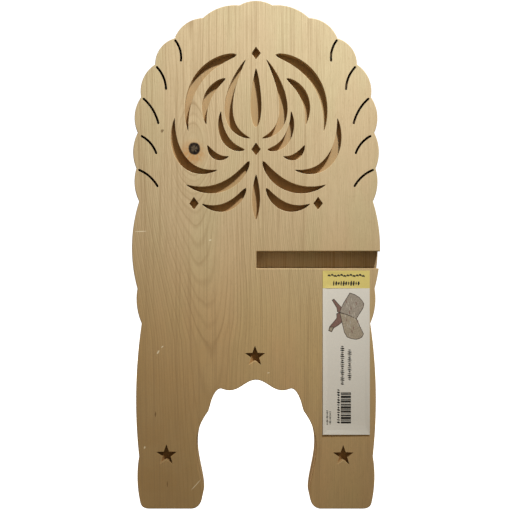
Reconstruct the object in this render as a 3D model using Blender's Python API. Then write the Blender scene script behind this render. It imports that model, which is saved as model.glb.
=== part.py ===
"""Cross-lap book stand of maple: two identical carved boards, laid flat against each other, and a paper label.

The front board carries its carving towards -Y. The back board is the same board turned half a turn about the
vertical, so its slot opens on the other side and the two can be pushed through each other into an X.
Sizes are in millimetres until they are written to a mesh. Z is up, and the feet stand on Z = 0.
"""
import math

import bmesh
import bpy

MM = 0.001

HEIGHT = 450.0
THICKNESS = 12.0
GAP = 0.3
LABEL_THICKNESS = 0.3
STACK_DEPTH = LABEL_THICKNESS + GAP + THICKNESS + GAP + THICKNESS

CARVING_DEPTH = 6.0
GROOVE_DEPTH = 8.0
GROOVE_WIDTH = 2.0
CUTTER_OVERLAP = 2.0
SCALLOP_STEPS = 6
CURVE_STEPS = 10
STROKE_STEPS = 9

SLOT_TOP = 227.9
SLOT_HEIGHT = 15.0
SLOT_END = 0.4
SLOT_REACH = 130.0

# Cusps of the right-hand edge from the crown down to the foot, each with the rise of the arc that follows it.
CROWN_CUSP = (14.7, HEIGHT - 4.0)
EDGE = [
    (CROWN_CUSP, 3.7),
    ((47.0, 434.8), 4.7),
    ((72.2, 416.7), 4.9),
    ((89.4, 393.6), 4.8),
    ((101.8, 364.7), 4.2),
    ((104.8, 333.0), 3.5),
    ((106.0, 301.5), 2.8),
    ((103.6, 272.3), 5.6),
    ((105.1, 195.0), 2.3),
    ((101.3, 164.2), 3.8),
    ((103.6, 46.5), 2.0),
    ((102.5, 5.4), 0.0),
]

# Bezier spans from the outer corner of the foot, under the sole and up the arch to its crown.
TOE = [(102.5, 5.4), (101.5, 1.5), (98.5, 0.0), (94.0, 0.0)]
HEEL = [(57.0, 0.0), (51.5, 0.5), (48.0, 4.6), (47.4, 12.0)]
ARCH = [
    [(47.4, 12.0), (47.5, 34.0), (63.5, 58.0), (42.2, 86.5)],
    [(42.2, 86.5), (40.5, 93.5), (36.5, 108.2), (30.0, 106.2)],
    [(30.0, 106.2), (16.0, 100.5), (10.5, 114.1), (0.0, 114.1)],
]

# Grooves that run in from the cusps: outer end, inner end, bow.
GROOVES = [
    ((71.4, 414.6), (66.5, 396.9), -1.8),
    ((87.7, 391.0), (79.7, 371.8), -1.9),
    ((99.4, 363.0), (86.5, 341.5), -1.9),
    ((101.2, 330.0), (88.4, 315.1), -1.8),
    ((103.4, 300.0), (87.3, 285.8), -1.8),
]

STAR_RADIUS = 9.4
STAR_WAIST = 3.8
STARS = [(-0.9, 135.0), (77.2, 47.0), (-79.3, 47.6)]

# Carved arabesque: the Bezier path of each stroke, its width, and where along it the stroke is widest.
CENTRE_STROKES = [
    ([(0.0, 338.0), (0.0, 352.0), (0.0, 372.0), (0.0, 390.0)], 9.5, 0.4),
    ([(0.0, 256.0), (0.0, 268.0), (0.0, 280.0), (0.0, 296.0)], 7.0, 0.5),
]
PAIRED_STROKES = [
    ([(5.0, 328.0), (34.0, 336.0), (26.0, 372.0), (9.0, 398.0)], 7.2, 0.45),
    ([(17.0, 402.0), (50.0, 396.0), (66.0, 366.0), (60.0, 334.0)], 8.4, 0.35),
    ([(27.0, 381.0), (44.0, 372.0), (48.0, 356.0), (44.0, 340.0)], 6.8, 0.4),
    ([(10.0, 318.0), (28.0, 318.0), (34.0, 338.0), (31.0, 352.0)], 6.5, 0.4),
    ([(72.0, 346.0), (78.0, 318.0), (62.0, 292.0), (34.0, 300.0)], 7.8, 0.5),
    ([(6.0, 308.0), (16.0, 286.0), (40.0, 276.0), (62.0, 287.0)], 8.5, 0.4),
    ([(9.0, 284.0), (18.0, 266.0), (34.0, 262.0), (48.0, 270.0)], 7.5, 0.4),
    ([(24.0, 312.0), (34.0, 308.0), (40.0, 314.0), (43.0, 322.0)], 5.5, 0.5),
]
DIAMONDS = [(0.0, 403.5), (0.0, 318.5), (55.0, 270.5), (-55.0, 270.5)]
DIAMOND_HALF_WIDTH = 4.2
DIAMOND_HALF_HEIGHT = 5.6

LABEL_LEFT = 59.0
LABEL_RIGHT = 100.6
LABEL_BOTTOM = 66.0
LABEL_TOP = 211.0


def clear_scene():
    for item in list(bpy.data.objects):
        bpy.data.objects.remove(item)


def material(name, colour, roughness):
    made = bpy.data.materials.new(name)
    made.use_nodes = True
    shader = made.node_tree.nodes["Principled BSDF"]
    shader.inputs["Base Color"].default_value = (*colour, 1.0)
    shader.inputs["Roughness"].default_value = roughness
    shader.inputs["Metallic"].default_value = 0.0
    return made


def arc(start, end, rise, steps):
    """Points along a circular arc from start towards end, bowed to the left by rise, without the end point."""
    chord_x = end[0] - start[0]
    chord_z = end[1] - start[1]
    chord = math.hypot(chord_x, chord_z)
    left = (-chord_z / chord, chord_x / chord)
    points = []
    for step in range(steps):
        along = step / steps
        if rise:
            radius = (chord * chord / 4.0 + rise * rise) / (2.0 * abs(rise))
            offset = chord * (along - 0.5)
            height = math.sqrt(radius * radius - offset * offset) - (radius - abs(rise))
            height = math.copysign(height, rise)
        else:
            height = 0.0
        points.append((start[0] + chord_x * along + left[0] * height,
                       start[1] + chord_z * along + left[1] * height))
    return points


def bezier_point(path, t):
    k = 1.0 - t
    weights = (k * k * k, 3.0 * k * k * t, 3.0 * k * t * t, t * t * t)
    return tuple(sum(weight * point[axis] for weight, point in zip(weights, path)) for axis in range(2))


def bezier(path, steps):
    return [bezier_point(path, step / steps) for step in range(steps)]


def mirrored(points):
    return [(-x, z) for x, z in reversed(points)]


def board_outline():
    """Closed outline of a board without its slot: the right half from crown to arch, then its mirror image."""
    crown = arc((-CROWN_CUSP[0], CROWN_CUSP[1]), CROWN_CUSP, HEIGHT - CROWN_CUSP[1], 2 * SCALLOP_STEPS)
    half = crown[SCALLOP_STEPS + 1:]
    for (start, rise), (end, _) in zip(EDGE, EDGE[1:]):
        length = math.dist(start, end)
        steps = SCALLOP_STEPS if length < 60.0 else 2 * SCALLOP_STEPS
        half += arc(start, end, rise, steps)
    half += bezier(TOE, CURVE_STEPS // 2) + [TOE[-1]]
    half += bezier(HEEL, CURVE_STEPS // 2)
    for path in ARCH:
        half += bezier(path, CURVE_STEPS)
    return [(0.0, HEIGHT)] + half + [ARCH[-1][-1]] + mirrored(half)


def groove_outline(start, end, bow):
    """A band of even width along a bowed line, with half-round ends."""
    middle = arc(start, end, bow, STROKE_STEPS) + [end]
    left = []
    right = []
    for index, point in enumerate(middle):
        before = middle[max(index - 1, 0)]
        after = middle[min(index + 1, len(middle) - 1)]
        length = math.dist(before, after)
        normal = ((before[1] - after[1]) / length, (after[0] - before[0]) / length)
        half = GROOVE_WIDTH / 2.0
        left.append((point[0] + normal[0] * half, point[1] + normal[1] * half))
        right.append((point[0] - normal[0] * half, point[1] - normal[1] * half))
    return left + right[::-1]


def stroke_outline(path, width, widest_at):
    """A tapered stroke along a Bezier path, pointed at both ends and fullest at widest_at."""
    power = math.log(0.5) / math.log(widest_at)
    left = []
    right = []
    for step in range(1, STROKE_STEPS):
        t = step / STROKE_STEPS
        half = width / 2.0 * math.sin(math.pi * t ** power) ** 0.75
        before = bezier_point(path, t - 0.01)
        after = bezier_point(path, t + 0.01)
        length = math.dist(before, after)
        normal = ((before[1] - after[1]) / length, (after[0] - before[0]) / length)
        point = bezier_point(path, t)
        left.append((point[0] + normal[0] * half, point[1] + normal[1] * half))
        right.append((point[0] - normal[0] * half, point[1] - normal[1] * half))
    return [path[0]] + left + [path[-1]] + right[::-1]


def star_outline(centre):
    points = []
    for index in range(10):
        radius = STAR_WAIST if index % 2 else STAR_RADIUS
        angle = math.pi / 2.0 + index * math.pi / 5.0
        points.append((centre[0] + radius * math.cos(angle), centre[1] + radius * math.sin(angle)))
    return points


def diamond_outline(centre):
    x, z = centre
    return [(x + DIAMOND_HALF_WIDTH, z), (x, z + DIAMOND_HALF_HEIGHT),
            (x - DIAMOND_HALF_WIDTH, z), (x, z - DIAMOND_HALF_HEIGHT)]


def carving_outlines():
    outlines = [diamond_outline(centre) for centre in DIAMONDS]
    outlines += [star_outline(centre) for centre in STARS]
    outlines += [stroke_outline(*stroke) for stroke in CENTRE_STROKES]
    paired = [stroke_outline(*stroke) for stroke in PAIRED_STROKES]
    return outlines + paired + [mirrored(outline) for outline in paired]


def groove_outlines():
    outlines = [groove_outline(*groove) for groove in GROOVES]
    return outlines + [mirrored(outline) for outline in outlines]


def prisms(name, outlines, front, back):
    """One object made of upright prisms, each outline in X and Z carried from y = front to y = back."""
    mesh = bpy.data.meshes.new(name)
    build = bmesh.new()
    for outline in outlines:
        corners = [build.verts.new((x * MM, front * MM, z * MM)) for x, z in outline]
        face = build.faces.new(corners)
        swept = bmesh.ops.extrude_face_region(build, geom=[face])
        moved = [item for item in swept["geom"] if isinstance(item, bmesh.types.BMVert)]
        bmesh.ops.translate(build, vec=(0.0, (back - front) * MM, 0.0), verts=moved)
    bmesh.ops.recalc_face_normals(build, faces=build.faces)
    build.to_mesh(mesh)
    build.free()
    made = bpy.data.objects.new(name, mesh)
    bpy.context.collection.objects.link(made)
    return made


def cut(target, cutter):
    cutter.hide_render = True
    cutter.display_type = "WIRE"
    modifier = target.modifiers.new(cutter.name, "BOOLEAN")
    modifier.operation = "DIFFERENCE"
    modifier.object = cutter


def board_mesh():
    """The board's mesh with its slot and carving cut, centred on y = 0, carved face towards -Y."""
    half = THICKNESS / 2.0
    blank = prisms("board_blank", [board_outline()], -half, half)
    slot = [(SLOT_END, SLOT_TOP - SLOT_HEIGHT), (SLOT_REACH, SLOT_TOP - SLOT_HEIGHT),
            (SLOT_REACH, SLOT_TOP), (SLOT_END, SLOT_TOP)]
    cut(blank, prisms("slot_cutter", [slot], -half - CUTTER_OVERLAP, half + CUTTER_OVERLAP))
    cut(blank, prisms("carving_cutter", carving_outlines(), -half - CUTTER_OVERLAP, CARVING_DEPTH - half))
    cut(blank, prisms("groove_cutter", groove_outlines(), -half - CUTTER_OVERLAP, GROOVE_DEPTH - half))
    evaluated = blank.evaluated_get(bpy.context.evaluated_depsgraph_get())
    mesh = bpy.data.meshes.new_from_object(evaluated)
    mesh.name = "board"
    for used in (blank, *[modifier.object for modifier in blank.modifiers]):
        bpy.data.objects.remove(used)
    return mesh


def add_boards():
    maple = material("maple", (0.60, 0.46, 0.28), 0.55)
    mesh = board_mesh()
    mesh.materials.clear()
    mesh.materials.append(maple)
    front_y = -STACK_DEPTH / 2.0 + LABEL_THICKNESS + GAP + THICKNESS / 2.0
    for name, y, turn in (("front_board", front_y, 0.0),
                          ("back_board", front_y + THICKNESS + GAP, math.pi)):
        board = bpy.data.objects.new(name, mesh)
        board.location = (0.0, y * MM, 0.0)
        board.rotation_euler = (0.0, 0.0, turn)
        bpy.context.collection.objects.link(board)


def add_label():
    sheet = [(LABEL_LEFT, LABEL_BOTTOM), (LABEL_RIGHT, LABEL_BOTTOM),
             (LABEL_RIGHT, LABEL_TOP), (LABEL_LEFT, LABEL_TOP)]
    front = -STACK_DEPTH / 2.0
    label = prisms("paper_label", [sheet], front, front + LABEL_THICKNESS)
    label.data.materials.append(material("label_paper", (0.80, 0.78, 0.70), 0.6))


clear_scene()
add_boards()
add_label()
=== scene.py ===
import math

import bmesh
import bpy
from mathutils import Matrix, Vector, geometry


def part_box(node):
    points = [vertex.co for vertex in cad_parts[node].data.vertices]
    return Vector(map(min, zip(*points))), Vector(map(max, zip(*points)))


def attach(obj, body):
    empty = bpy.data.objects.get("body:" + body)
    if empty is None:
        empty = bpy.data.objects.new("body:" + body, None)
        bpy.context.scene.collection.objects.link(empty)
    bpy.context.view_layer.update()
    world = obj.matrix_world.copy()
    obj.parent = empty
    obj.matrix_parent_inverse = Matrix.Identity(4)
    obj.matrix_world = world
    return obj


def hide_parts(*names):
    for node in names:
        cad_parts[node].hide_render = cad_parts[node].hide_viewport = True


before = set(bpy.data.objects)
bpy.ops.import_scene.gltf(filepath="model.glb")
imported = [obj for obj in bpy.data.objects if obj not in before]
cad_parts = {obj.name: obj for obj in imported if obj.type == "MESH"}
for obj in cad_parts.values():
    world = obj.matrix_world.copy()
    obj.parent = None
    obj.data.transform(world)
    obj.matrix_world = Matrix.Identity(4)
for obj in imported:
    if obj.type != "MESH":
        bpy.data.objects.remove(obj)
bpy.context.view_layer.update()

MM = 0.001


# ---- The two boards: shape -------------------------------------------------------------------------------
# Each board is sawn from 12 mm maple with a scalloped crown, a waisted side and an arched foot, then its
# edges are softened by hand. A slot as high as a crossing board runs from one edge to the middle line. The
# boards are one pattern, and the back one is turned half a turn, so that its slot opens on the other side.

front_low, front_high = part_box("front_board")
back_low, back_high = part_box("back_board")
BOARD_HEIGHT = (front_high[2] - front_low[2]) / MM
BOARD_THICKNESS = (front_high[1] - front_low[1]) / MM

# Sizes are in millimetres: X across the board from its middle line, Z up from its feet.
OUTLINE_STEP = 1.0
EDGE_SOFTENING = 0.75
SOFTENING_STEPS = 3

SLOT_TOP = 227.9
SLOT_BOTTOM = 212.9
SLOT_END = 0.4
SLOT_CORNER = 0.7
CORNER_STEPS = 4

# The cusps from the crown down to the foot, each with the rise of the arc to the next one.
CROWN_CUSP = (14.7, BOARD_HEIGHT - 4.0)
SIDE_CUSPS = [
    (CROWN_CUSP, 3.7),
    ((47.0, 434.8), 4.7),
    ((72.2, 416.7), 4.9),
    ((89.4, 393.6), 4.8),
    ((101.8, 364.7), 4.2),
    ((104.8, 333.0), 3.5),
    ((106.0, 301.5), 2.8),
    ((103.6, 272.3), 5.6),
    ((105.1, 195.0), 2.3),
    ((101.3, 164.2), 3.8),
    ((103.6, 46.5), 2.0),
    ((102.5, 5.4), 0.0),
]
# Curves of four control points, round the foot and up to the top of the arch.
FOOT_AND_ARCH = [
    [(102.5, 5.4), (101.5, 1.5), (98.5, 0.0), (94.0, 0.0)],
    [(94.0, 0.0), (80.0, 0.0), (70.0, 0.0), (57.0, 0.0)],
    [(57.0, 0.0), (51.5, 0.5), (48.0, 4.6), (47.4, 12.0)],
    [(47.4, 12.0), (47.5, 34.0), (63.5, 58.0), (42.2, 86.5)],
    [(42.2, 86.5), (40.5, 93.5), (36.5, 108.2), (30.0, 106.2)],
    [(30.0, 106.2), (16.0, 100.5), (10.5, 114.1), (0.0, 114.1)],
]


def arc_span(start, end, rise):
    """Points from start towards end along an arc bowed to the left by rise."""
    across = Vector(end) - Vector(start)
    chord = across.length
    steps = max(3, round(chord / OUTLINE_STEP))
    left = Vector((-across.y, across.x)) / chord
    radius = (chord * chord / 4 + rise * rise) / (2 * abs(rise)) if rise else 0
    points = []
    for step in range(steps):
        offset = chord * (step / steps - 0.5)
        height = math.sqrt(radius * radius - offset * offset) - radius + abs(rise) if rise else 0
        points.append(Vector(start) + across * (step / steps) + left * math.copysign(height, rise))
    return points


def bezier_point(path, t):
    """The point at t, from 0 to 1, on a curve of four control points."""
    k = 1 - t
    weights = (k ** 3, 3 * k * k * t, 3 * k * t * t, t ** 3)
    return sum((Vector(point) * weight for point, weight in zip(path, weights)), Vector((0, 0)))


def bezier_span(path):
    """Points along the curve, its last one left to the next span."""
    length = sum((Vector(b) - Vector(a)).length for a, b in zip(path, path[1:]))
    steps = max(4, round(length / OUTLINE_STEP))
    return [bezier_point(path, step / steps) for step in range(steps)]


def mirrored(points):
    """The same points on the other side of the middle line, still in the same turning sense."""
    return [Vector((-point.x, point.y)) for point in reversed(points)]


def slotted(edge):
    """The right-hand edge with the slot let into it, the corners at its closed end slightly round."""
    above = [point for point in edge if point.y > SLOT_TOP]
    below = [point for point in edge if point.y < SLOT_BOTTOM]
    mouth_top = above[-1].lerp(below[0], 0.1)
    mouth_bottom = above[-1].lerp(below[0], 0.9)
    slot = [Vector((mouth_top.x, SLOT_TOP))]
    for corner_z, side, turn in ((SLOT_TOP, 1, 0), (SLOT_BOTTOM, -1, 1)):
        centre = Vector((SLOT_END + SLOT_CORNER, corner_z - side * SLOT_CORNER))
        for step in range(CORNER_STEPS + 1):
            angle = math.pi / 2 + math.pi / 2 * (turn + step / CORNER_STEPS)
            slot.append(centre + Vector((math.cos(angle), math.sin(angle))) * SLOT_CORNER)
    slot.append(Vector((mouth_bottom.x, SLOT_BOTTOM)))
    return above + slot + below


def board_outline():
    """The whole outline from the crown, down the slotted edge, through the arch and up again."""
    crown = arc_span((-CROWN_CUSP[0], CROWN_CUSP[1]), CROWN_CUSP, BOARD_HEIGHT - CROWN_CUSP[1])
    side = []
    for (start, rise), (end, _) in zip(SIDE_CUSPS, SIDE_CUSPS[1:]):
        side += arc_span(start, end, rise)
    foot = []
    for path in FOOT_AND_ARCH:
        foot += bezier_span(path)
    middle = Vector(FOOT_AND_ARCH[-1][-1])
    return crown + slotted(side) + foot + [middle] + mirrored(foot) + mirrored(side[1:])


# ---- The carving -----------------------------------------------------------------------------------------
# A router has cut an arabesque 6 mm deep into the outer face of each board: tapered leaves and sweeps in
# pairs about two middle leaves, with lozenges between them. Three small stars are cut over the arch and on
# the feet. Five curved grooves run in from the cusps on each side, cut deeper with a thin tool and painted
# near-black as shade. The pocket floors are darkened, partly as rougher cut wood and partly as painted
# shade, and the pocket rims are lightened as a painted highlight.

CARVING_DEPTH = 6.0
RIM_SOFTENING = 0.3
STROKE_STEPS = 44
STROKE_FULLNESS = 0.75
PLANED, SAWN, ROUTED_AND_SHADED, HIGHLIGHT_RIM, COOL_SHADE_FACE, GROOVE_SHADE = range(6)

# A stroke is its curve's four control points, its greatest width, and where along it that width lies.
MIDDLE_LEAVES = [
    ([(0.0, 338.0), (0.0, 352.0), (0.0, 372.0), (0.0, 390.0)], 9.5, 0.4),
    ([(0.0, 256.0), (0.0, 268.0), (0.0, 280.0), (0.0, 296.0)], 7.0, 0.5),
]
PAIRED_SWEEPS = [
    ([(5.0, 328.0), (34.0, 336.0), (26.0, 372.0), (9.0, 398.0)], 7.2, 0.45),
    ([(17.0, 402.0), (50.0, 396.0), (66.0, 366.0), (60.0, 334.0)], 8.4, 0.35),
    ([(27.0, 381.0), (44.0, 372.0), (48.0, 356.0), (44.0, 340.0)], 6.8, 0.4),
    ([(10.0, 318.0), (28.0, 318.0), (34.0, 338.0), (31.0, 352.0)], 6.5, 0.4),
    ([(72.0, 346.0), (78.0, 318.0), (62.0, 292.0), (34.0, 300.0)], 7.8, 0.5),
    ([(6.0, 308.0), (16.0, 286.0), (40.0, 276.0), (62.0, 287.0)], 8.5, 0.4),
    ([(9.0, 284.0), (18.0, 266.0), (34.0, 262.0), (48.0, 270.0)], 7.5, 0.4),
    ([(24.0, 312.0), (34.0, 308.0), (40.0, 314.0), (43.0, 322.0)], 5.5, 0.5),
]
LOZENGES = [(0.0, 403.5), (0.0, 318.5), (55.0, 270.5), (-55.0, 270.5)]
LOZENGE_HALF = (4.2, 5.6)
STARS = [(-0.9, 135.0), (77.2, 47.0), (-79.3, 47.6)]
STAR_RADIUS = 9.4
STAR_WAIST = 3.8

GROOVE_DEPTH = 8.0
GROOVE_WIDTH = 2.0
GROOVE_SOFTENING = 0.08
GROOVE_TIP_STEPS = 6
CUSP_GROOVES = [
    ((71.4, 414.6), (66.5, 396.9), -1.8),
    ((87.7, 391.0), (79.7, 371.8), -1.9),
    ((99.4, 363.0), (86.5, 341.5), -1.9),
    ((101.2, 330.0), (88.4, 315.1), -1.8),
    ((103.4, 300.0), (87.3, 285.8), -1.8),
]


def leaf(path, width, fullest):
    """Outline of a stroke that tapers to both ends of its Bezier path."""
    power = math.log(0.5) / math.log(fullest)
    left = []
    right = []
    for step in range(1, STROKE_STEPS):
        t = step / STROKE_STEPS
        half = width / 2 * math.sin(math.pi * t ** power) ** STROKE_FULLNESS
        along = bezier_point(path, t + 0.01) - bezier_point(path, t - 0.01)
        normal = Vector((-along.y, along.x)).normalized()
        left.append(bezier_point(path, t) + normal * half)
        right.append(bezier_point(path, t) - normal * half)
    return [Vector(path[0])] + right + [Vector(path[-1])] + left[::-1]


def groove(start, end, bow):
    """Outline of an even groove along an arc, its ends half round."""
    middle = arc_span(start, end, bow) + [Vector(end)]
    half = GROOVE_WIDTH / 2
    left = []
    right = []
    for index, point in enumerate(middle):
        along = middle[min(index + 1, len(middle) - 1)] - middle[max(index - 1, 0)]
        normal = Vector((-along.y, along.x)).normalized()
        left.append(point + normal * half)
        right.append(point - normal * half)
    outline = list(right)
    for tip, edge in ((middle[-1], right[-1]), (middle[0], left[0])):
        first = math.atan2(edge.y - tip.y, edge.x - tip.x)
        for step in range(1, GROOVE_TIP_STEPS):
            angle = first + math.pi * step / GROOVE_TIP_STEPS
            outline.append(tip + Vector((math.cos(angle), math.sin(angle))) * half)
        if edge is right[-1]:
            outline += left[::-1]
    return outline


def lozenge(centre):
    """Outline of a lozenge that stands on its point."""
    across, up = LOZENGE_HALF
    corners = [Vector((across, 0)), Vector((0, up)), Vector((-across, 0)), Vector((0, -up))]
    return [Vector(centre) + corner for corner in corners]


def star(centre):
    """Outline of a five-pointed star, one point up."""
    points = []
    for index in range(10):
        radius = STAR_WAIST if index % 2 else STAR_RADIUS
        angle = math.pi / 2 + index * math.pi / 5
        points.append(Vector(centre) + Vector((math.cos(angle), math.sin(angle))) * radius)
    return points


def pockets():
    """Each pocket's outline, its depth, and the finishes of its rim and of its walls and floor."""
    grooves = [groove(*line) for line in CUSP_GROOVES]
    sweeps = [leaf(*sweep) for sweep in PAIRED_SWEEPS]
    carved = [leaf(*stroke) for stroke in MIDDLE_LEAVES] + sweeps + [mirrored(sweep) for sweep in sweeps]
    carved += [lozenge(centre) for centre in LOZENGES] + [star(centre) for centre in STARS]
    cuts = [(outline, CARVING_DEPTH, HIGHLIGHT_RIM, ROUTED_AND_SHADED) for outline in carved]
    return cuts + [(outline, GROOVE_DEPTH, HIGHLIGHT_RIM, GROOVE_SHADE)
                   for outline in grooves + [mirrored(line) for line in grooves]]


def offset_outline(outline, distance):
    """The outline moved to its right by distance, corners mitred up to twice the distance."""
    moved = []
    for index, point in enumerate(outline):
        before = (point - outline[index - 1]).normalized()
        after = (outline[(index + 1) % len(outline)] - point).normalized()
        right = Vector((before.y, -before.x)) + Vector((after.y, -after.x))
        right.normalize()
        reach = max(right.dot(Vector((after.y, -after.x))), 0.5)
        moved.append(point + right * (distance / reach))
    return moved


def anticlockwise(outline):
    """The outline, turned round where it runs clockwise."""
    area = sum(a.x * b.y - b.x * a.y for a, b in zip(outline, outline[1:] + outline[:1])) / 2
    return outline if area > 0 else outline[::-1]


def eased(softening):
    """Steps over a softened edge, from its face to its side: how far in and how deep each one lies."""
    angles = [math.pi / 2 * step / SOFTENING_STEPS for step in range(SOFTENING_STEPS + 1)]
    return [(softening * (1 - math.sin(angle)), softening * (1 - math.cos(angle))) for angle in angles]


def board_mesh(name, front_y, turned):
    """One closed board, each face given the finish that its tool leaves."""
    build = bmesh.new()

    def ring(outline, depth):
        sign = -1 if turned else 1
        return [build.verts.new((sign * point.x * MM, front_y + sign * depth * MM, point.y * MM))
                for point in outline]

    def join(first, second, slot):
        for index in range(len(first)):
            after = (index + 1) % len(first)
            face = build.faces.new((first[index], first[after], second[after], second[index]))
            face.material_index = slot
            face.smooth = True

    def loop_edges(vertices):
        return [build.edges.get((a, b)) for a, b in zip(vertices, vertices[1:] + vertices[:1])]

    def fill(rings, slot):
        edges = [edge for vertices in rings for edge in loop_edges(vertices)]
        made = bmesh.ops.triangle_fill(build, use_beauty=True, use_dissolve=False, edges=edges)
        for item in made["geom"]:
            if isinstance(item, bmesh.types.BMFace):
                item.material_index = slot
                item.smooth = False

    outer = anticlockwise(board_outline())
    edge = eased(EDGE_SOFTENING)
    rings = [ring(offset_outline(outer, -inset), depth) for inset, depth in edge]
    rings += [ring(offset_outline(outer, -inset), BOARD_THICKNESS - depth)
              for inset, depth in reversed(edge)]
    for first, second in zip(rings, rings[1:]):
        join(first, second, SAWN)

    openings = []
    for outline, depth, rim, wall in pockets():
        pocket = anticlockwise(outline)
        softening = GROOVE_SOFTENING if wall == GROOVE_SHADE else RIM_SOFTENING
        levels = [ring(offset_outline(pocket, flare), down) for flare, down in eased(softening)]
        openings.append(levels[0])
        for first, second in zip(levels, levels[1:]):
            # The softened rim carries the lighter finish, a painted highlight.
            join(first, second, rim)
        floor_ring = ring(pocket, depth)
        join(levels[-1], floor_ring, wall)
        fill([floor_ring], wall)
    fill([rings[0]] + openings, PLANED)
    # The back face gets a paler, cooler finish, painted shade colour where it shows through the other
    # board's slot.
    fill([rings[-1]], COOL_SHADE_FACE)
    bmesh.ops.recalc_face_normals(build, faces=build.faces)
    mesh = bpy.data.meshes.new(name)
    build.to_mesh(mesh)
    build.free()
    return mesh


def place_board(name, body, front_y, turned, finishes):
    """A finished board, riding on its own body in place of its plain CAD solid."""
    piece = bpy.data.objects.new(name, board_mesh(name, front_y, turned))
    bpy.context.collection.objects.link(piece)
    for finish in finishes:
        piece.data.materials.append(finish)
    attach(piece, body)
    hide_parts(body)


# ---- Maple -----------------------------------------------------------------------------------------------
# Pale bare maple, sawn a little off the pith, so that the growth rings stand as plain upright lines on the
# right and as a tall nest of hanging loops on the left. A branch knot sits in the left half, with the rings
# flowing round it. The figure is worked out in depth, so edges and pockets cut through the same rings.

# Red, green and blue of the wood itself: spring wood, summer wood and the knot; last, the near-black
# painted shade of the grooves.
FRONT_PALE = (0.63, 0.482, 0.29)
BACK_PALE = (0.64, 0.495, 0.305)
DARK = (0.33, 0.205, 0.095)
KNOT_BROWN = (0.115, 0.078, 0.046)
KNOT_BARK = (0.014, 0.007, 0.004)
KNOT_CRACK = (0.008, 0.004, 0.003)
GROOVE_SHADE_PALE = (0.120, 0.072, 0.036)
GROOVE_SHADE_DARK = (0.050, 0.028, 0.014)

# Tints are shares of the wood's own red, green and blue.
WARM_PATCH = (1.00, 0.955, 0.92)
GREEN_PATCH = (0.965, 0.975, 0.915)
# A darker, warmer tint painted as shade towards the feet.
LOW_SHADE_TINT = (0.96, 0.84, 0.675)
# A darker tint painted as shade towards the lower left.
LOWER_LEFT_SHADE_TINT = (0.60, 0.485, 0.33)
CLOUD_TINT = (0.80, 0.76, 0.66)
RING_TINT = (0.90, 0.86, 0.80)
HALO_TINT = (0.80, 0.55, 0.36)
SPECK_TINT = (0.45, 0.40, 0.34)
# Pale bluish tint of the painted glints on small dents.
DENT_GLINT_TINT = (1.3, 1.42, 1.6)

# How strongly each part of the figure is drawn, from 0 to 1.
CLOUD_DEPTH = 0.14
SHADE_DEPTH = 0.22
LINE_DEPTH = 0.72
LINE_DEPTH_BY_KNOT = 0.30
THREAD_DEPTH = 0.42
FIBRE_DEPTH = 0.26
FLECK_DEPTH = 0.30
BARK_DEPTH = 0.9
SPECK_DEPTH = 0.75
DENT_GLINT_DEPTH = 0.8

# The two boards' own figures and knots, in millimetres.
FRONT_FIGURE = {"Pith X": -41.0, "Lean": 15.0, "Pith Depth": 47.0, "Ring Width": 3.1, "Nest Foot": 148.5,
                "Taper": 0.088, "Plain Edge": 55.0}
BACK_FIGURE = {"Pith X": 26.0, "Lean": 9.0, "Pith Depth": 60.0, "Ring Width": 3.4, "Nest Foot": 96.0,
               "Taper": 0.10, "Plain Edge": 140.0}
FRONT_KNOT = {"Knot X": -54.6, "Knot Z": 319.0, "Radius": 4.7, "Reach": 24.0, "Strength": 9.0}
BACK_KNOT = {"Knot X": 61.0, "Knot Z": 152.0, "Radius": 2.6, "Reach": 12.0, "Strength": 6.0}

# The carved faces lie this far from the middle plane. The nest climbs in stretches above and below its
# foot, each given by where it starts and ends and how far it rises. A line's width is a share of its
# year's. The knot's stain lies off its middle.
FACE_PLANE = 12.0
NEST_HALF_WIDTH = 74.0
NEST_CLIMB = ((0.0, 171.0, 171.0), (171.0, 301.0, 44.0), (0.0, -149.0, -55.0))
RING_WAVER = 1.7
LINE_WIDTH = 0.15
STAIN_OFFSET = (1.5, 4.5)


def new_group(name, inputs, outputs):
    """A shader node group with a point as its first input, then floats with their default values."""
    group = bpy.data.node_groups.new(name, "ShaderNodeTree")
    group.interface.new_socket("Point", in_out="INPUT", socket_type="NodeSocketVector")
    for label, value in inputs.items():
        socket = group.interface.new_socket(label, in_out="INPUT", socket_type="NodeSocketFloat")
        socket.default_value = value
    for label in outputs:
        group.interface.new_socket(label, in_out="OUTPUT", socket_type="NodeSocketFloat")
    return group, group.nodes.new("NodeGroupInput").outputs, group.nodes.new("NodeGroupOutput").inputs


def plug(tree, value, socket):
    """Links a socket, or sets a plain value."""
    if isinstance(value, bpy.types.NodeSocket):
        tree.links.new(value, socket)
    else:
        socket.default_value = value


def maths(tree, operation, *values):
    node = tree.nodes.new("ShaderNodeMath")
    node.operation = operation
    for value, socket in zip(values, node.inputs):
        plug(tree, value, socket)
    return node.outputs[0]


def plus(tree, first, second):
    return maths(tree, "ADD", first, second)


def minus(tree, first, second):
    return maths(tree, "SUBTRACT", first, second)


def times(tree, first, second):
    return maths(tree, "MULTIPLY", first, second)


def over(tree, first, second):
    return maths(tree, "DIVIDE", first, second)


def squares(tree, first, second):
    return plus(tree, times(tree, first, first), times(tree, second, second))


def length(tree, first, second):
    return maths(tree, "POWER", squares(tree, first, second), 0.5)


def swing(tree, value, whole):
    """A noise of 0 to 1 made a shift to both sides, whole from one end to the other."""
    return times(tree, minus(tree, value, 0.5), whole)


def split(tree, vector):
    node = tree.nodes.new("ShaderNodeSeparateXYZ")
    tree.links.new(vector, node.inputs[0])
    return node.outputs


def combine(tree, x, y, z):
    node = tree.nodes.new("ShaderNodeCombineXYZ")
    for value, socket in zip((x, y, z), node.inputs):
        plug(tree, value, socket)
    return node.outputs[0]


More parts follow.
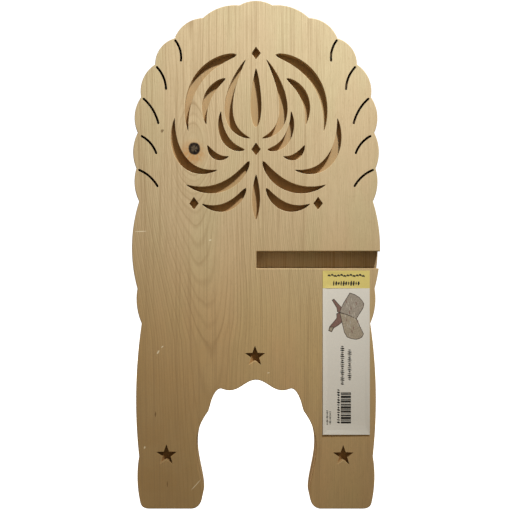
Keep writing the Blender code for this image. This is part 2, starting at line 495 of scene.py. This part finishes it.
def ramp_between(tree, value, low, high, start=0.0, end=1.0, smooth=True):
    """From start to end while value goes from low to high, and level on both sides."""
    node = tree.nodes.new("ShaderNodeMapRange")
    node.interpolation_type = "SMOOTHSTEP" if smooth else "LINEAR"
    plug(tree, value, node.inputs["Value"])
    for socket, number in zip(("From Min", "From Max", "To Min", "To Max"), (low, high, start, end)):
        plug(tree, number, node.inputs[socket])
    return node.outputs["Result"]


def noise(tree, vector, scale, detail=2.0, roughness=0.5):
    node = tree.nodes.new("ShaderNodeTexNoise")
    tree.links.new(vector, node.inputs["Vector"])
    node.inputs["Scale"].default_value = scale
    node.inputs["Detail"].default_value = detail
    node.inputs["Roughness"].default_value = roughness
    return node.outputs["Fac"]


def stretched(tree, vector, x, y, z):
    node = tree.nodes.new("ShaderNodeVectorMath")
    node.operation = "MULTIPLY"
    tree.links.new(vector, node.inputs[0])
    node.inputs[1].default_value = (x, y, z)
    return node.outputs[0]


def build_knot_group():
    """A branch knot straight through the board: how far it pushes the rings, and its own marks."""
    group, given, result = new_group("branch_knot", FRONT_KNOT, ("Push", "Core", "Rim", "Halo", "Cracks"))
    x, _, z = split(group, given["Point"])
    across = minus(group, x, given["Knot X"])
    up = minus(group, z, given["Knot Z"])
    distance = length(group, across, up)
    angle = maths(group, "ARCTAN2", up, across)

    # The rings are pushed aside most at the knot, and further along the grain than across it.
    spread = squares(group, across, times(group, up, 0.7))
    reach = times(group, given["Reach"], given["Reach"])
    fall = maths(group, "EXPONENT", times(group, over(group, spread, reach), -1.0))
    plug(group, times(group, fall, given["Strength"]), result["Push"])

    # A brown core inside a broad ring of bark, neither of them quite round.
    wobble = noise(group, given["Point"], 0.11, 3.0)
    ratio = over(group, plus(group, distance, swing(group, wobble, 2.2)), given["Radius"])
    plug(group, ramp_between(group, ratio, 1.1, 0.92), result["Core"])
    bark = times(group, ramp_between(group, ratio, 0.35, 0.78), ramp_between(group, ratio, 1.25, 1.0))
    plug(group, bark, result["Rim"])

    # The stain round it lies a little below and to the left, in streaks that run outwards.
    streaks = noise(group, combine(group, times(group, angle, 2.2), times(group, distance, 0.10), 0.0),
                    1.8, 3.0, 0.6)
    stained = length(group, plus(group, across, STAIN_OFFSET[0]), plus(group, up, STAIN_OFFSET[1]))
    stained = over(group, stained, given["Radius"])
    halo = times(group, ramp_between(group, stained, 3.3, 0.8),
                 ramp_between(group, streaks, 0.30, 0.62, 0.35, 1.0))
    plug(group, halo, result["Halo"])

    # Cracks run outwards from its middle.
    rays = noise(group, combine(group, times(group, angle, 0.9), times(group, distance, 0.05), 0.0),
                 1.7, 2.0)
    plug(group, ramp_between(group, rays, 0.50, 0.60), result["Cracks"])
    return group


def build_figure_group():
    """Growth rings, fibres, flecks and slow changes of tint, from a point in millimetres."""
    group, given, result = new_group(
        "maple_figure", {**FRONT_FIGURE, "Push": 0.0},
        ("Ring Line", "Ring Shade", "Fibre", "Thread", "Fleck", "Warmth", "Cloud", "Lower Left Shade", "Low Shade"))
    point = given["Point"]
    x, y, z = split(group, point)
    above = minus(group, z, given["Nest Foot"])

    # The pith runs behind the board, leans to the left on its way up, and comes nearer to the face.
    slow = noise(group, stretched(group, point, 1.0, 1.0, 0.25), 0.02, 2.0)
    lean = times(group, given["Lean"], plus(group, ramp_between(group, above, 0.0, 142.0),
                                            ramp_between(group, above, 150.0, 280.0, 0.0, 0.27)))
    across = plus(group, minus(group, x, minus(group, given["Pith X"], lean)), swing(group, slow, 5.0))
    climb = 0.0
    for start, end, rise in NEST_CLIMB:
        climb = plus(group, climb, ramp_between(group, above, start, end, 0.0, rise, smooth=False))
    beside = maths(group, "ABSOLUTE", over(group, across, NEST_HALF_WIDTH))
    nearness = over(group, 1.0, plus(group, 1.0, maths(group, "POWER", beside, 3.0)))
    taper = times(group, times(group, climb, given["Taper"]), nearness)
    below = minus(group, minus(group, given["Pith Depth"], taper), plus(group, y, FACE_PLANE))

    # Rings lie round the pith, a year apart, waver a little and give way to the knot.
    waver = noise(group, stretched(group, point, 1.0, 1.0, 0.2), 0.07, 3.0)
    distance = plus(group, length(group, across, below), swing(group, waver, RING_WAVER))
    distance = minus(group, distance, given["Push"])
    rings = over(group, minus(group, distance, given["Pith Depth"]), given["Ring Width"])
    phase = maths(group, "FRACT", rings)
    year = group.nodes.new("ShaderNodeTexWhiteNoise")
    year.noise_dimensions = "1D"
    group.links.new(maths(group, "FLOOR", rings), year.inputs["W"])

    # Some years are stronger than others, and all of them are faint towards the edge and the feet.
    strength = ramp_between(group, year.outputs["Value"], 0.0, 1.0, 0.35, 1.0, smooth=False)
    patches = noise(group, stretched(group, point, 1.0, 1.0, 0.3), 0.035, 2.0)
    patchy = ramp_between(group, patches, 0.3, 0.6, 0.45, 1.0)
    edge_x = given["Plain Edge"]
    plain = ramp_between(group, x, edge_x, plus(group, edge_x, 6.0), 1.0, 0.3)
    calm = ramp_between(group, above, -110.0, 40.0, 0.5, 1.0)
    strength = times(group, times(group, strength, patchy), times(group, plain, calm))

    # A crisp line closes each year, a faint one halves it, and the wood darkens towards its end.
    edge = maths(group, "MINIMUM", phase, times(group, minus(group, 1.0, phase), 2.2))
    line = times(group, ramp_between(group, edge, LINE_WIDTH, 0.0), strength)
    midway = maths(group, "ABSOLUTE", minus(group, phase, 0.52))
    faint = times(group, times(group, ramp_between(group, midway, 0.16, 0.0), patchy),
                  times(group, plain, 0.32))
    plug(group, maths(group, "MAXIMUM", line, faint), result["Ring Line"])
    plug(group, times(group, ramp_between(group, phase, 0.25, 1.0), strength), result["Ring Shade"])

    # Fibres, threads and flecks all run with the grain.
    plug(group, noise(group, stretched(group, point, 1.0, 1.0, 0.03), 1.6, 3.0, 0.65), result["Fibre"])
    threads = noise(group, stretched(group, point, 1.0, 1.0, 0.012), 0.62, 2.0, 0.6)
    plug(group, times(group, ramp_between(group, threads, 0.52, 0.68), plain), result["Thread"])
    flecks = noise(group, stretched(group, point, 1.0, 0.4, 0.16), 2.2, 2.0)
    plug(group, ramp_between(group, flecks, 0.56, 0.74), result["Fleck"])

    # The tint changes slowly. Painted shade darkens it below on the left and towards the feet, where the
    # light falls off.
    plug(group, noise(group, stretched(group, point, 1.0, 1.0, 0.3), 0.028, 2.0, 0.55), result["Warmth"])
    plug(group, noise(group, point, 0.045, 3.0, 0.55), result["Cloud"])
    # Painted shade: the wood is darkened towards the lower left, where the lamps fall off.
    downhill = plus(group, times(group, minus(group, x, given["Pith X"]), 1.3), z)
    plug(group, ramp_between(group, plus(group, downhill, times(group, slow, 60.0)), 290.0, -40.0),
         result["Lower Left Shade"])
    # Painted shade: the wood is darker and warmer towards the feet, where the light falls off.
    plug(group, ramp_between(group, plus(group, z, times(group, slow, 40.0)), 300.0, 150.0),
         result["Low Shade"])
    return group


def build_marks_group(name, dent_glints, specks):
    """Small dents and scratches painted pale and bluish as glints, and dark specks, on one board: each its
    X and Z, half sizes and turn.
    """
    group, given, result = new_group(name, {}, ("Dent Glints", "Specks"))
    x, _, z = split(group, given["Point"])
    ragged = swing(group, noise(group, given["Point"], 0.8, 2.0), 1.6)
    for label, marks in (("Dent Glints", dent_glints), ("Specks", specks)):
        total = 0.0
        for at_x, at_z, half_long, half_wide, turn in marks:
            across = minus(group, x, at_x)
            up = minus(group, z, at_z)
            cosine, sine = math.cos(math.radians(turn)), math.sin(math.radians(turn))
            along = plus(group, times(group, across, cosine / half_long),
                         times(group, up, sine / half_long))
            beside = plus(group, times(group, across, -sine / half_wide),
                          times(group, up, cosine / half_wide))
            far = plus(group, squares(group, along, beside), ragged)
            total = maths(group, "MAXIMUM", total, ramp_between(group, far, 1.15, 0.35))
        plug(group, total, result[label])
    return group


knot_group = build_knot_group()
figure_group = build_figure_group()
front_marks = build_marks_group(
    "front_board_marks",
    [(-40.5, 238.0, 1.1, 0.7, 20.0), (-86.5, 139.0, 2.0, 0.8, 60.0), (-83.0, 143.5, 1.3, 0.6, 40.0),
     (-98.5, 54.5, 1.3, 0.8, 70.0), (-53.0, 21.5, 6.5, 0.35, 48.0), (-102.0, 245.7, 5.0, 0.4, 2.0),
     (11.0, 120.5, 1.6, 0.5, 10.0)],
    [(-83.0, 334.5, 1.9, 1.3, 70.0), (-89.0, 84.0, 2.6, 0.7, 88.0), (-78.5, 22.0, 3.0, 0.5, 90.0)])
back_marks = build_marks_group(
    "back_board_marks",
    [(-48.0, 291.0, 2.4, 0.5, 70.0), (70.0, 96.0, 1.5, 0.8, 30.0), (22.0, 402.0, 7.0, 0.35, 25.0)],
    [(34.0, 260.0, 2.0, 1.2, 80.0), (-81.0, 118.0, 3.4, 0.6, 88.0), (58.0, 371.0, 1.8, 0.6, 86.0)])


def tinted(colour, tint):
    return tuple(channel * share for channel, share in zip(colour, tint))


def mixed(tree, factor, first, second, blend="MIX"):
    """Second over first, by factor; either may be a colour or a socket."""
    node = tree.nodes.new("ShaderNodeMix")
    node.data_type = "RGBA"
    node.blend_type = blend
    plug(tree, factor, node.inputs["Factor"])
    for value, socket in ((first, node.inputs["A"]), (second, node.inputs["B"])):
        if isinstance(value, bpy.types.NodeSocket):
            tree.links.new(value, socket)
        else:
            socket.default_value = (*value, 1.0)
    return node.outputs["Result"]


def point_on_piece(tree, turn=0.0, shift=(0.0, 0.0, 0.0)):
    """The point on the piece in millimetres, turned about the upright axis and shifted."""
    place = tree.nodes.new("ShaderNodeMapping")
    place.inputs["Scale"].default_value = (1 / MM, 1 / MM, 1 / MM)
    place.inputs["Rotation"].default_value = (0.0, 0.0, turn)
    place.inputs["Location"].default_value = shift
    tree.links.new(tree.nodes.new("ShaderNodeTexCoord").outputs["Object"], place.inputs["Vector"])
    return place.outputs["Vector"]


def roughen(tree, shader, height, distance, strength):
    """Gives the shader the small bumps of a height."""
    bump = tree.nodes.new("ShaderNodeBump")
    bump.inputs["Distance"].default_value = distance * MM
    bump.inputs["Strength"].default_value = strength
    tree.links.new(height, bump.inputs["Height"])
    tree.links.new(bump.outputs["Normal"], shader.inputs["Normal"])


def placed(tree, group, point, values):
    """One of the node groups above, fed with the point and given its values."""
    node = tree.nodes.new("ShaderNodeGroup")
    node.node_tree = group
    tree.links.new(point, node.inputs["Point"])
    for label, value in values.items():
        node.inputs[label].default_value = value
    return node


def maple(name, board, pale, dark, roughness, grain_height):
    """Bare maple of one board: its pale spring wood, its dark summer wood and how rough it is left."""
    made = bpy.data.materials.new(name)
    made.use_nodes = True
    tree = made.node_tree
    shader = tree.nodes["Principled BSDF"]
    point = point_on_piece(tree, board["turn"], board["shift"])
    knot = placed(tree, knot_group, point, board["knot"]).outputs
    grain_node = placed(tree, figure_group, point, board["figure"])
    tree.links.new(knot["Push"], grain_node.inputs["Push"])
    grain = grain_node.outputs
    flaws = placed(tree, board["marks"], point, {}).outputs

    def stain(base, mask, amount, colour):
        return mixed(tree, times(tree, mask, amount), base, colour)

    base = mixed(tree, ramp_between(tree, grain["Warmth"], 0.38, 0.62),
                 tinted(pale, GREEN_PATCH), tinted(pale, WARM_PATCH))
    # Painted shade, darker and warmer towards the feet.
    base = mixed(tree, grain["Low Shade"], base, LOW_SHADE_TINT, "MULTIPLY")
    # Painted shade darkening the lower left.
    base = stain(base, grain["Lower Left Shade"], 1.0, tinted(pale, LOWER_LEFT_SHADE_TINT))
    cloudy = ramp_between(tree, grain["Cloud"], 0.35, 0.65)
    base = stain(base, cloudy, CLOUD_DEPTH, tinted(pale, CLOUD_TINT))
    base = stain(base, grain["Ring Shade"], SHADE_DEPTH, dark)
    faded = ramp_between(tree, knot["Push"], 1.0, 9.0, LINE_DEPTH, LINE_DEPTH_BY_KNOT)
    base = stain(base, grain["Ring Line"], faded, tinted(dark, RING_TINT))
    base = stain(base, grain["Thread"], THREAD_DEPTH, dark)
    base = stain(base, ramp_between(tree, grain["Fibre"], 0.3, 0.7), FIBRE_DEPTH, dark)
    base = stain(base, grain["Fleck"], FLECK_DEPTH, dark)
    base = stain(base, knot["Halo"], 1.0, tinted(pale, HALO_TINT))
    base = mixed(tree, knot["Core"], base, KNOT_BROWN)
    base = stain(base, knot["Rim"], BARK_DEPTH, KNOT_BARK)
    core_cracks = times(tree, knot["Core"], knot["Cracks"])
    base = mixed(tree, core_cracks, base, KNOT_CRACK)
    base = stain(base, flaws["Specks"], SPECK_DEPTH, tinted(dark, SPECK_TINT))
    # Small dents, their colour painted pale and bluish as glints of light.
    base = stain(base, flaws["Dent Glints"], DENT_GLINT_DEPTH, tinted(pale, DENT_GLINT_TINT))
    tree.links.new(base, shader.inputs["Base Color"])

    rough = ramp_between(tree, grain["Fibre"], 0.3, 0.7, roughness - 0.05, roughness + 0.07)
    rough = maths(tree, "MAXIMUM", rough, times(tree, knot["Core"], 0.95))
    tree.links.new(rough, shader.inputs["Roughness"])
    shader.inputs["Specular IOR Level"].default_value = 0.2
    height = plus(tree, times(tree, grain["Fibre"], 0.5), times(tree, grain["Ring Line"], -0.35))
    height = plus(tree, height, times(tree, core_cracks, -2.0))
    height = minus(tree, height, plus(tree, flaws["Dent Glints"], flaws["Specks"]))
    roughen(tree, shader, height, grain_height, 0.6)
    return made


def board_finishes(board):
    """The finishes of one board, in the order of PLANED, SAWN, ROUTED_AND_SHADED, HIGHLIGHT_RIM, COOL_SHADE_FACE and GROOVE_SHADE."""
    made = []
    for cut, tint, roughness, grain_height in (("planed", (1.0, 1.0, 1.0), 0.52, 0.05),
                                               ("sawn", (1.0, 0.97, 0.92), 0.62, 0.16),
                                               # The pocket finish is darker than the face: partly the
                                               # rougher cut floor, partly painted shade in the pockets.
                                               ("routed_and_shaded", (0.70, 0.61, 0.50), 0.68, 0.2),
                                               # The rim finish is lighter than the face: a painted
                                               # highlight along the pocket edges.
                                               ("rim", (1.12, 1.12, 1.12), 0.5, 0.05),
                                               # The back face is paler and bluer than the wood: painted
                                               # cool shade where it shows through the slot.
                                               ("cool_shade_face", (1.05, 1.19, 1.44), 0.7, 0.14)):
        made.append(maple(board["name"] + "_" + cut + "_maple", board, tinted(board["pale"], tint), DARK,
                          roughness, grain_height))
    # The grooves' near-black finish is painted shade, in place of the dark of their deep narrow cut.
    made.append(maple(board["name"] + "_groove_shade_maple", board, GROOVE_SHADE_PALE, GROOVE_SHADE_DARK, 0.8, 0.2))
    return made


front_board = {"name": "front_board", "turn": 0.0, "shift": (0.0, 0.0, 0.0), "pale": FRONT_PALE,
               "figure": FRONT_FIGURE, "knot": FRONT_KNOT, "marks": front_marks}
back_board = {"name": "back_board", "turn": math.pi, "shift": (0.0, 0.0, 37.0), "pale": BACK_PALE,
              "figure": BACK_FIGURE, "knot": BACK_KNOT, "marks": back_marks}
place_board("front_board_maple", "front_board", front_low[1], False, board_finishes(front_board))
place_board("back_board_maple", "back_board", back_high[1], True, board_finishes(back_board))


# ---- The paper label -------------------------------------------------------------------------------------
# A printed strip of smooth paper is stuck on the front board under the slot, its foot and one side a
# little loose. It has a straw-coloured head, a small picture of the stand opened into its X, rows of
# ornament and a block of stripes. One sheet carries the print, each ink being a part of its face.

label_low, label_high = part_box("paper_label")
LABEL_MIDDLE = Vector(((label_low[0] + label_high[0]) / 2, (label_low[2] + label_high[2]) / 2)) / MM
LABEL_SIZE = Vector((label_high[0] - label_low[0], label_high[2] - label_low[2])) / MM
PAPER_THICKNESS = 0.14
PAPER_LIFT = 0.05
LOOSE_FOOT = 12.0
FOOT_LIFT = 0.7
LOOSE_SIDE = 4.0
SIDE_LIFT = 0.3
SHEET_GRID = 4.0
HEAD_HEIGHT = 15.6
OUTLINE_PRINT = 0.55

# Each ink is its colour, its roughness and how much darker its mottling is.
LABEL_INKS = {
    "ground": ((0.84, 0.765, 0.67), 0.42, 0.05),
    "head": ((0.80, 0.63, 0.198), 0.42, 0.06),
    "black": ((0.030, 0.026, 0.022), 0.45, 0.2),
    "wood": ((0.50, 0.41, 0.325), 0.45, 0.4),
    "wood_shade": ((0.095, 0.067, 0.05), 0.45, 0.3),
    "wood_light": ((0.64, 0.55, 0.44), 0.45, 0.3),
    "wood_red": ((0.30, 0.165, 0.13), 0.45, 0.35),
    "wood_tan": ((0.54, 0.43, 0.31), 0.45, 0.4),
    "grey": ((0.10, 0.095, 0.085), 0.45, 0.2),
}
INK_ORDER = list(LABEL_INKS)

# The little picture of the open stand: two feet seen edge-on at the left, then the two boards to the right.
# Each part is its outline, from the label's middle, and its own ink.
PICTURE = [
    ([(-12.1, 46.3), (-10.8, 46.9), (-4.1, 39.2), (-5.3, 35.6), (-7.5, 36.4), (-8.0, 39.7)],
     "wood_red"),
    ([(-15.2, 19.5), (-14.4, 22.6), (-8.0, 30.3), (-8.2, 34.2), (-5.3, 35.6), (-4.1, 32.5), (-4.1, 27.0),
      (-7.5, 24.2), (-11.3, 22.0), (-13.0, 18.7)], "wood_red"),
    ([(-15.0, 19.7), (-14.2, 22.3), (-11.6, 22.2), (-13.0, 19.0)], "wood_tan"),
    ([(-5.3, 34.8), (1.6, 32.9), (8.7, 30.0), (11.8, 23.2), (15.0, 16.5), (13.8, 14.0), (11.9, 12.8),
      (9.4, 12.0), (6.9, 12.1), (3.8, 12.8), (1.1, 13.9), (-1.4, 18.1), (-3.2, 26.0)], "wood_tan"),
    ([(-4.4, 38.9), (-1.4, 44.7), (3.4, 52.4), (7.2, 51.1), (11.0, 48.8), (13.6, 46.0), (15.4, 43.0),
      (14.7, 39.7), (8.9, 30.3), (2.0, 33.4), (-5.3, 35.6)], "wood"),
]

# Rows of ornament: where a row starts, the step to its next one, how many, how tall, and the ink.
HEAD_ROW = ((-11.0, 61.2), (2.2, 0.0), 11, 5.4, "black")
WORDING_ROWS = [
    ((3.0, 2.2), (0.0, -1.75), 16, 4.4, "black"),
    ((-3.4, 5.4), (0.0, -1.75), 20, 4.4, "black"),
]
STOCK_ROWS = [
    ((-6.8, -33.2), (0.0, -2.2), 14, 3.2, "black"),
    ((-14.2, -52.4), (0.0, -1.2), 10, 2.2, "grey"),
    ((-16.8, -51.6), (0.0, -1.2), 11, 2.2, "grey"),
]
WAVES = 12
WAVE_STEP = 2.75
PICTURE_STROKES = 22
STRIPES = 15
STRIPES_TOP = -35.2
STRIPES_MIDDLE = -0.3
STRIPE_LENGTH = 9.0


def paper_finish(name, colour, roughness, mottle):
    """Printed paper: its ink or ground colour, faintly mottled by the fibres under it."""
    made = bpy.data.materials.new(name)
    made.use_nodes = True
    tree = made.node_tree
    shader = tree.nodes["Principled BSDF"]
    point = point_on_piece(tree)
    cloud = noise(tree, point, 0.9, 3.0, 0.6)
    darker = tinted(colour, (1 - mottle, 1 - mottle, 1 - mottle))
    shade = mixed(tree, ramp_between(tree, cloud, 0.3, 0.7), darker, colour)
    broad = noise(tree, point, 0.035, 2.0)
    tree.links.new(mixed(tree, ramp_between(tree, broad, 0.3, 0.7, 0.0, 0.5), shade, darker),
                   shader.inputs["Base Color"])
    tree.links.new(ramp_between(tree, cloud, 0.3, 0.7, roughness - 0.04, roughness + 0.06),
                   shader.inputs["Roughness"])
    roughen(tree, shader, cloud, 0.02, 0.5)
    return made


def box_shape(centre, size):
    """An upright rectangle."""
    across = Vector((size[0] / 2, 0))
    up = Vector((0, size[1] / 2))
    middle = Vector(centre)
    return [middle - across - up, middle + across - up, middle + across + up, middle - across + up]


def outlined(shape, ink):
    """A part of the picture over a slightly larger one in the ink of its outline."""
    shape = anticlockwise([Vector(point) for point in shape])
    return [("wood_shade", offset_outline(shape, OUTLINE_PRINT)), (ink, shape)]


def ornament_row(start, step, count, tall, ink):
    """A row of small six-sided leaves of uneven height, standing in for a line of print."""
    shapes = []
    along = Vector(step)
    across = Vector((-along.y, along.x)).normalized()
    unit = along.normalized()
    for index in range(count):
        middle = Vector(start) + along * index
        reach = across * tall * (0.22 + 0.20 * abs(math.sin(index * 2.3 + start[0])))
        plump = unit * along.length * (0.44 if index % 3 else 0.30)
        shapes.append((ink, [middle + plump, middle + plump * 0.6 + reach, middle - plump * 0.2 + reach,
                             middle - plump, middle - plump * 0.6 - reach, middle + plump * 0.2 - reach]))
    return shapes


def wave_row(top):
    """A row of small waves along the label's head."""
    shapes = []
    for index in range(WAVES):
        x = (index - (WAVES - 1) / 2) * WAVE_STEP
        z = top + 0.5 * math.sin(index * 2.1)
        path = [(x - 1.3, z - 5.0), (x - 0.5, z - 3.9), (x + 0.5, z - 3.9), (x + 1.3, z - 5.4)]
        shapes.append(("black", leaf(path, 1.7, 0.5)))
    return shapes


def picture_strokes():
    """Short uneven strokes over the boards of the picture, in place of their carving."""
    shapes = []
    for index in range(PICTURE_STROKES):
        row, column = divmod(index, 4)
        x = -0.5 + column * 2.8 + row * 0.4 * (-1 if row < 3 else 1) + 1.1 * math.sin(index * 5.1)
        z = 47.0 - row * 5.6 + 1.7 * math.sin(index * 3.7)
        path = [(x, z), (x + 0.5, z - 1.2), (x + 0.3, z - 2.4), (x + 1.0, z - 3.6)]
        shapes.append(("wood_light" if index % 3 else "wood_red", leaf(path, 0.8, 0.5)))
    return shapes


def stock_stripes():
    """Plain stripes of uneven width, one under another, that code nothing."""
    shapes = []
    edge = STRIPES_TOP
    for index in range(STRIPES):
        thick = 0.55 + 0.42 * (index * 7 % 5)
        shapes.append(("black", box_shape((STRIPES_MIDDLE, edge - thick / 2), (STRIPE_LENGTH, thick))))
        edge -= thick + 0.30 + 0.12 * (index * 3 % 4)
    return shapes


def label_shapes():
    """What is printed, in order: ink and outline, in millimetres from the label's middle."""
    top = LABEL_SIZE.y / 2
    shapes = [("ground", box_shape((0, 0), LABEL_SIZE))]
    shapes.append(("head", box_shape((0, top - HEAD_HEIGHT / 2), (LABEL_SIZE.x, HEAD_HEIGHT))))
    shapes += wave_row(top) + ornament_row(*HEAD_ROW)
    for shape, ink in PICTURE:
        shapes += outlined(shape, ink)
    shapes += picture_strokes()
    for row in WORDING_ROWS:
        shapes += ornament_row(*row)
    shapes += stock_stripes()
    for row in STOCK_ROWS:
        shapes += ornament_row(*row)
    return shapes


def label_mesh():
    """The sheet as one closed solid, its printed face cut along the edges of the inks."""
    shapes = label_shapes()
    points = []
    outlines = []
    for _, shape in shapes:
        outlines.append(list(range(len(points), len(points) + len(shape))))
        points += shape
    half = LABEL_SIZE / 2
    columns, rows = int(LABEL_SIZE.x / SHEET_GRID), int(LABEL_SIZE.y / SHEET_GRID)
    points += [Vector((column / columns * LABEL_SIZE.x - half.x, row / rows * LABEL_SIZE.y - half.y))
               for column in range(1, columns) for row in range(1, rows)]
    flat, _, faces, _, _, sources = geometry.delaunay_2d_cdt(points, [], outlines, 1, 0.001)
    build = bmesh.new()
    front = []
    for point in flat:
        place = LABEL_MIDDLE + point
        foot = max(0.0, 1 - (point.y + half.y) / LOOSE_FOOT)
        side = max(0.0, 1 - (point.x + half.x) / LOOSE_SIDE)
        curl = FOOT_LIFT * foot * foot + SIDE_LIFT * side * side
        stand_off = (PAPER_LIFT + PAPER_THICKNESS + curl) * MM
        front.append(build.verts.new((place.x * MM, front_low[1] - stand_off, place.y * MM)))
    for corners, printed in zip(faces, sources):
        face = build.faces.new([front[corner] for corner in corners])
        face.material_index = INK_ORDER.index(shapes[max(printed)][0])
    swept = bmesh.ops.extrude_face_region(build, geom=build.faces[:])
    moved = [item for item in swept["geom"] if isinstance(item, bmesh.types.BMVert)]
    bmesh.ops.translate(build, vec=(0.0, PAPER_THICKNESS * MM, 0.0), verts=moved)
    for item in swept["geom"]:
        if isinstance(item, bmesh.types.BMFace):
            item.material_index = 0
    bmesh.ops.recalc_face_normals(build, faces=build.faces)
    mesh = bpy.data.meshes.new("paper_label_sheet")
    build.to_mesh(mesh)
    build.free()
    return mesh


label = bpy.data.objects.new("paper_label_sheet", label_mesh())
bpy.context.collection.objects.link(label)
for ink, (colour, roughness, mottle) in LABEL_INKS.items():
    label.data.materials.append(paper_finish("label_" + ink, colour, roughness, mottle))
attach(label, "front_board")
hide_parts("paper_label")


# ---- Studio ----------------------------------------------------------------------------------------------
# The stand is shown upright on a plain pale floor. A small spot lamp high on the right in front of it
# throws crisp shadows down into the carving and fades towards the feet, a cooler one under it lifts the
# crown, and another lights the back.

CAMERA_DISTANCE = 0.62
VIEW_WIDTH = 0.4531
AIM = Vector((0.0, 0.0, 0.2239))
SENSOR_WIDTH = 36.0
FLOOR_HALF = 6.0
FLOOR_PAINT = (0.36, 0.32, 0.24)
SURROUND = (0.205, 0.165, 0.118)
BACKDROP = 1.2

floor_mesh = bpy.data.meshes.new("floor")
floor_mesh.from_pydata([(-FLOOR_HALF, -FLOOR_HALF, 0), (FLOOR_HALF, -FLOOR_HALF, 0),
                        (FLOOR_HALF, FLOOR_HALF, 0), (-FLOOR_HALF, FLOOR_HALF, 0)], [], [(0, 1, 2, 3)])
floor = bpy.data.objects.new("floor", floor_mesh)
bpy.context.collection.objects.link(floor)
floor_paint = bpy.data.materials.new("pale_floor")
floor_paint.use_nodes = True
floor_tree = floor_paint.node_tree
floor_shader = floor_tree.nodes["Principled BSDF"]
floor_shader.inputs["Base Color"].default_value = (*FLOOR_PAINT, 1.0)
floor_shader.inputs["Roughness"].default_value = 0.9
seen = floor_tree.nodes.new("ShaderNodeLightPath").outputs["Is Camera Ray"]
floor_tree.links.new(times(floor_tree, seen, BACKDROP), floor_shader.inputs["Emission Strength"])
floor_shader.inputs["Emission Color"].default_value = (1.0, 1.0, 1.0, 1.0)
floor_mesh.materials.append(floor_paint)

world = bpy.data.worlds.new("studio")
bpy.context.scene.world = world
world.use_nodes = True
world_tree = world.node_tree
surround = world_tree.nodes["Background"]
sight = world_tree.nodes.new("ShaderNodeLightPath").outputs["Is Camera Ray"]
world_tree.links.new(mixed(world_tree, sight, SURROUND, (BACKDROP, BACKDROP, BACKDROP)),
                     surround.inputs["Color"])
surround.inputs["Strength"].default_value = 1.0


def lamp(name, kind, place, aim, size, power, colour):
    """A round lamp at place, turned to aim, that the camera doesn't see itself."""
    light = bpy.data.lights.new(name, kind)
    light.energy = power
    light.color = colour
    if kind == "AREA":
        light.shape = "DISK"
        light.size = size
    else:
        light.shadow_soft_size = size / 2
    made = bpy.data.objects.new(name, light)
    made.location = place
    made.rotation_euler = (Vector(aim) - Vector(place)).to_track_quat("-Z", "Y").to_euler()
    made.visible_camera = False
    bpy.context.collection.objects.link(made)
    return light


key = lamp("key_lamp", "SPOT", (0.30, -0.60, 1.11), (0.015, 0.0, 0.41), 0.07, 59.0, (1.0, 0.985, 0.96))
key.spot_size = math.radians(40.0)
key.spot_blend = 1.0
lamp("top_lamp", "AREA", (0.16, -0.31, 0.78), (0.0, 0.0, 0.44), 0.05, 0.95, (0.45, 1.0, 1.35))
lamp("back_lamp", "AREA", (-0.5, 1.2, 0.9), (0.0, 0.0, 0.22), 0.25, 16.0, (1.0, 0.96, 0.90))

camera = bpy.data.cameras.new("camera")
camera.sensor_width = SENSOR_WIDTH
camera.lens = SENSOR_WIDTH * CAMERA_DISTANCE / VIEW_WIDTH
camera_object = bpy.data.objects.new("camera", camera)
camera_object.location = (AIM.x, front_low[1] - CAMERA_DISTANCE, AIM.z)
camera_object.rotation_euler = (math.pi / 2, 0.0, 0.0)
bpy.context.collection.objects.link(camera_object)
bpy.context.scene.camera = camera_object
bpy.context.scene.view_settings.view_transform = "Standard"
